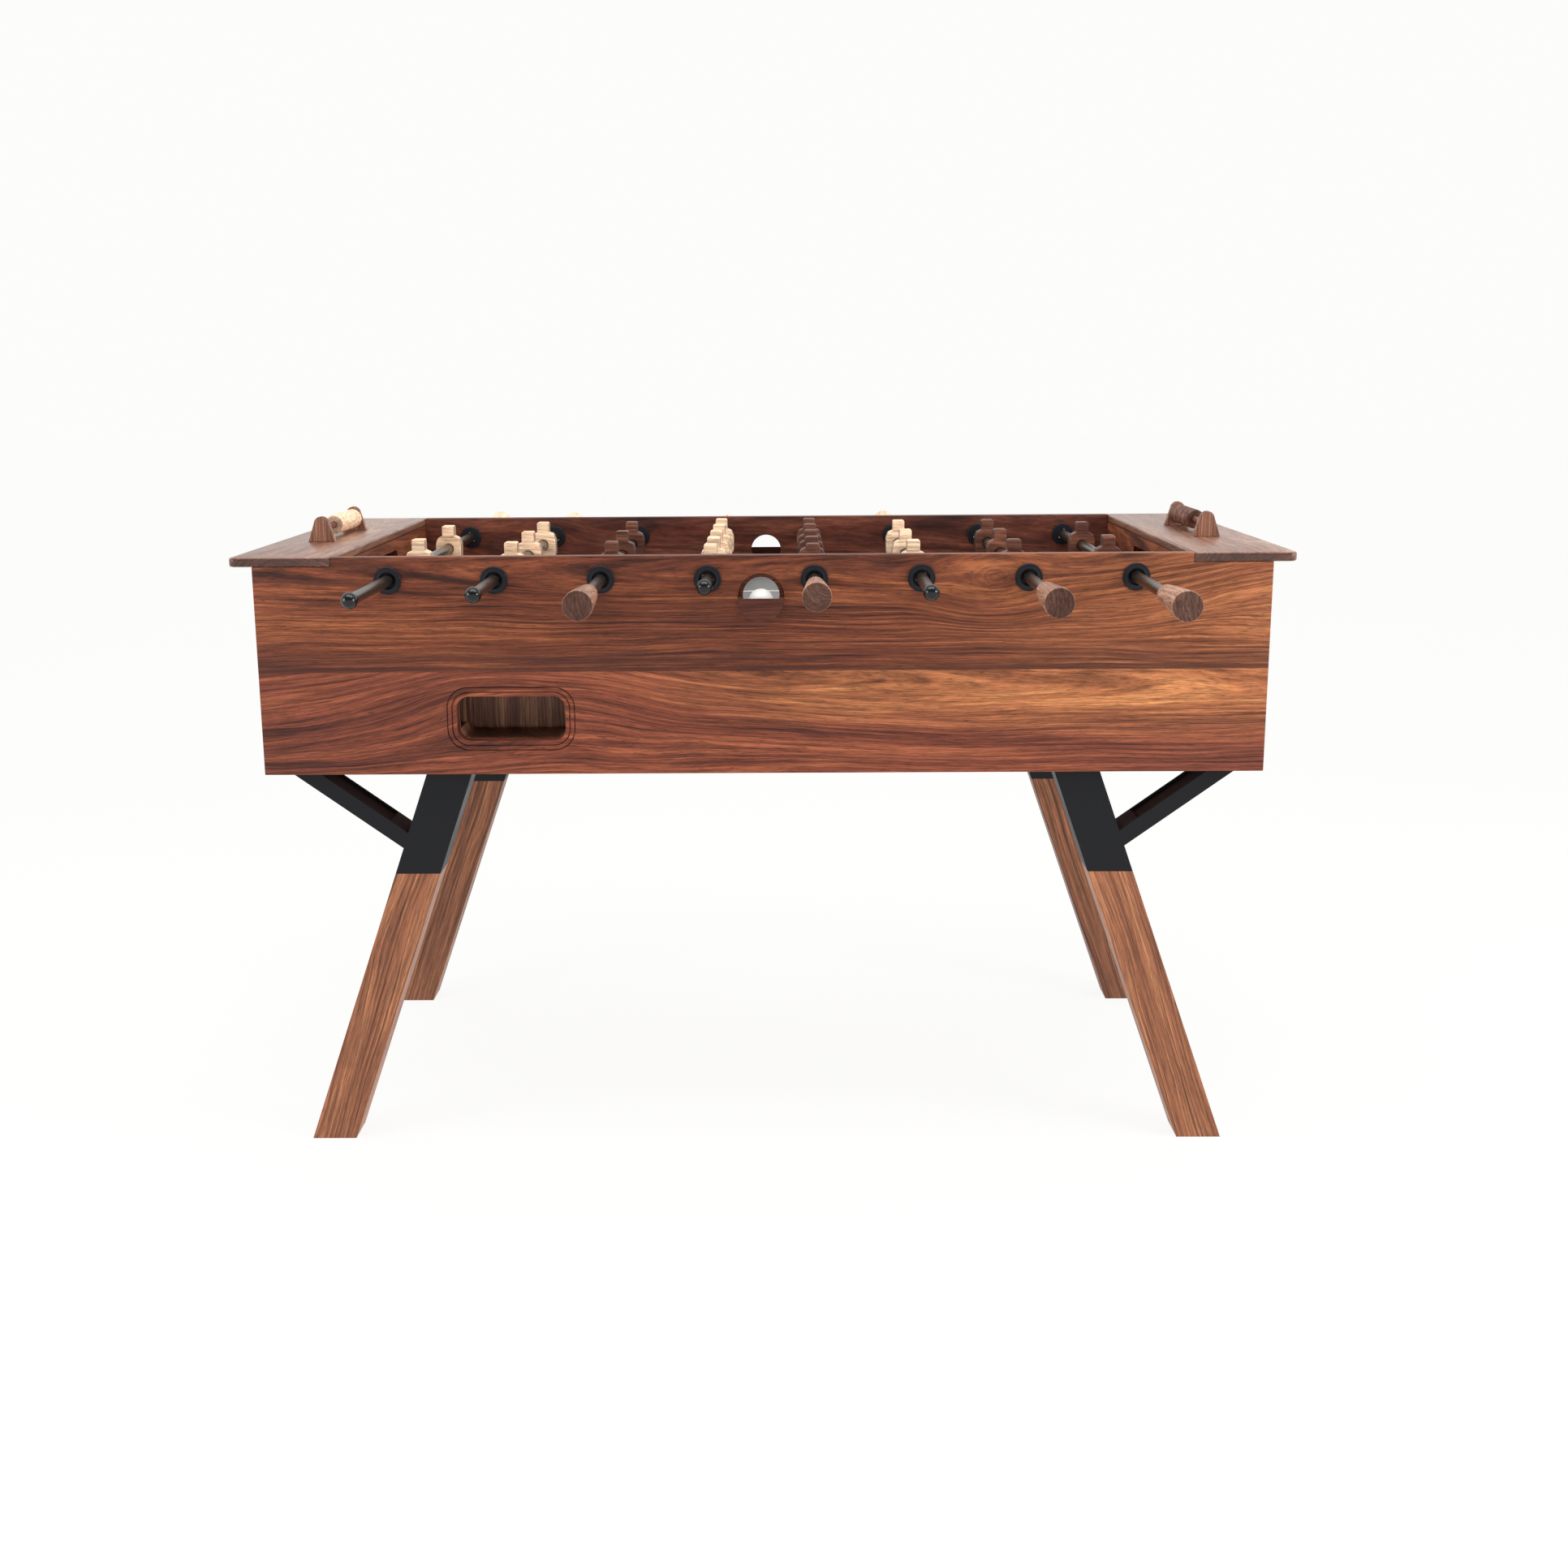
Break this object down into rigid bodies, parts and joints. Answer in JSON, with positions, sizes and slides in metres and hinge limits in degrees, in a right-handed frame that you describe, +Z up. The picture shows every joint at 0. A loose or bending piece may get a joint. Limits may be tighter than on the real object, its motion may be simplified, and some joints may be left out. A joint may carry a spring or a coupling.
{
  "type": "foosball table",
  "caption": "Free-standing foosball table: walnut cabinet, turning and sliding rods with flat wooden players, turned handles, bead scorers, raked legs in black steel brackets.",
  "frame": {"origin": "on the floor, under the centre of the table", "axes": "+X along the table to the right, +Y away from the near players' side, +Z up"},
  "size_m": [1.5, 1.388, 0.9185],
  "materials": {
    "walnut": "oiled satin, straight to figured grain",
    "maple": "clear satin",
    "black_steel": "satin powder coat",
    "rod_steel": "dark satin plate",
    "black_plastic": "matte",
    "black_gloss": "gloss",
    "grey_laminate": "satin laminate",
    "white_plastic": "semi-gloss"
  },
  "bodies": {
    "table": {"front_panel": "walnut", "back_panel": "walnut", "left_end_panel": "walnut", "right_end_panel": "walnut", "left_end_shelf": "walnut", "right_end_shelf": "walnut", "left_goal_wall": "walnut", "right_goal_wall": "walnut", "bottom_panel": "walnut", "playfield": "grey_laminate", "front_left_leg": "walnut", "front_left_leg_bracket": "black_steel", "front_right_leg": "walnut", "front_right_leg_bracket": "black_steel", "back_left_leg": "walnut", "back_left_leg_bracket": "black_steel", "back_right_leg": "walnut", "back_right_leg_bracket": "black_steel", "front_ball_cup": "walnut", "back_ball_cup": "walnut", "return_pocket": "walnut", "left_return_trough": "black_plastic", "right_return_trough": "black_plastic", "left_score_frame": "walnut", "right_score_frame": "walnut", "back_bearing_1": "black_plastic", "back_bearing_2": "black_plastic", "back_bearing_3": "black_plastic", "back_bearing_4": "black_plastic", "back_bearing_5": "black_plastic", "back_bearing_6": "black_plastic", "back_bearing_7": "black_plastic", "back_bearing_8": "black_plastic"},
    "bearing_1": {"front_bearing_1": "black_plastic"},
    "rod_1": {"rod_1": "rod_steel", "handle_1": "maple"},
    "bearing_2": {"front_bearing_2": "black_plastic"},
    "rod_2": {"rod_2": "rod_steel", "handle_2": "maple"},
    "bearing_3": {"front_bearing_3": "black_plastic"},
    "rod_3": {"rod_3": "rod_steel", "handle_3": "walnut"},
    "bearing_4": {"front_bearing_4": "black_plastic"},
    "rod_4": {"rod_4": "rod_steel", "handle_4": "maple"},
    "bearing_5": {"front_bearing_5": "black_plastic"},
    "rod_5": {"rod_5": "rod_steel", "handle_5": "walnut"},
    "bearing_6": {"front_bearing_6": "black_plastic"},
    "rod_6": {"rod_6": "rod_steel", "handle_6": "maple"},
    "bearing_7": {"front_bearing_7": "black_plastic"},
    "rod_7": {"rod_7": "rod_steel", "handle_7": "walnut"},
    "bearing_8": {"front_bearing_8": "black_plastic"},
    "rod_8": {"rod_8": "rod_steel", "handle_8": "walnut"},
    "left_beads": {"left_score_beads": "maple"},
    "right_beads": {"right_score_beads": "walnut"},
    "ball": {"ball": "white_plastic"}
  },
  "joints": [
    {"name": "rod_1_spin", "type": "hinge", "parent": "table", "child": "bearing_1", "pos_m": [-0.525, 0, 0.847], "axis": [0, 1, 0], "continuous": true},
    {"name": "rod_1_slide", "type": "slide", "parent": "bearing_1", "child": "rod_1", "axis": [0, 1, 0], "range_m": [-0.184, 0.184]},
    {"name": "rod_2_spin", "type": "hinge", "parent": "table", "child": "bearing_2", "pos_m": [-0.375, 0, 0.847], "axis": [0, 1, 0], "continuous": true},
    {"name": "rod_2_slide", "type": "slide", "parent": "bearing_2", "child": "rod_2", "axis": [0, 1, 0], "range_m": [-0.132, 0.132]},
    {"name": "rod_3_spin", "type": "hinge", "parent": "table", "child": "bearing_3", "pos_m": [-0.225, 0, 0.847], "axis": [0, 1, 0], "continuous": true},
    {"name": "rod_3_slide", "type": "slide", "parent": "bearing_3", "child": "rod_3", "axis": [0, 1, 0], "range_m": [-0.132, 0.132]},
    {"name": "rod_4_spin", "type": "hinge", "parent": "table", "child": "bearing_4", "pos_m": [-0.075, 0, 0.847], "axis": [0, 1, 0], "continuous": true},
    {"name": "rod_4_slide", "type": "slide", "parent": "bearing_4", "child": "rod_4", "axis": [0, 1, 0], "range_m": [-0.076, 0.076]},
    {"name": "rod_5_spin", "type": "hinge", "parent": "table", "child": "bearing_5", "pos_m": [0.075, 0, 0.847], "axis": [0, 1, 0], "continuous": true},
    {"name": "rod_5_slide", "type": "slide", "parent": "bearing_5", "child": "rod_5", "axis": [0, 1, 0], "range_m": [-0.076, 0.076]},
    {"name": "rod_6_spin", "type": "hinge", "parent": "table", "child": "bearing_6", "pos_m": [0.225, 0, 0.847], "axis": [0, 1, 0], "continuous": true},
    {"name": "rod_6_slide", "type": "slide", "parent": "bearing_6", "child": "rod_6", "axis": [0, 1, 0], "range_m": [-0.132, 0.132]},
    {"name": "rod_7_spin", "type": "hinge", "parent": "table", "child": "bearing_7", "pos_m": [0.375, 0, 0.847], "axis": [0, 1, 0], "continuous": true},
    {"name": "rod_7_slide", "type": "slide", "parent": "bearing_7", "child": "rod_7", "axis": [0, 1, 0], "range_m": [-0.132, 0.132]},
    {"name": "rod_8_spin", "type": "hinge", "parent": "table", "child": "bearing_8", "pos_m": [0.525, 0, 0.847], "axis": [0, 1, 0], "continuous": true},
    {"name": "rod_8_slide", "type": "slide", "parent": "bearing_8", "child": "rod_8", "axis": [0, 1, 0], "range_m": [-0.184, 0.184]},
    {"name": "left_beads_slide", "type": "slide", "parent": "table", "child": "left_beads", "axis": [0, -1, 0], "range_m": [0, 0.069]},
    {"name": "right_beads_slide", "type": "slide", "parent": "table", "child": "right_beads", "axis": [0, -1, 0], "range_m": [0, 0.069]},
    {"name": "ball_roll_in", "type": "slide", "parent": "table", "child": "ball", "axis": [0, 1, 0], "range_m": [0, 0.06]}
  ]
}
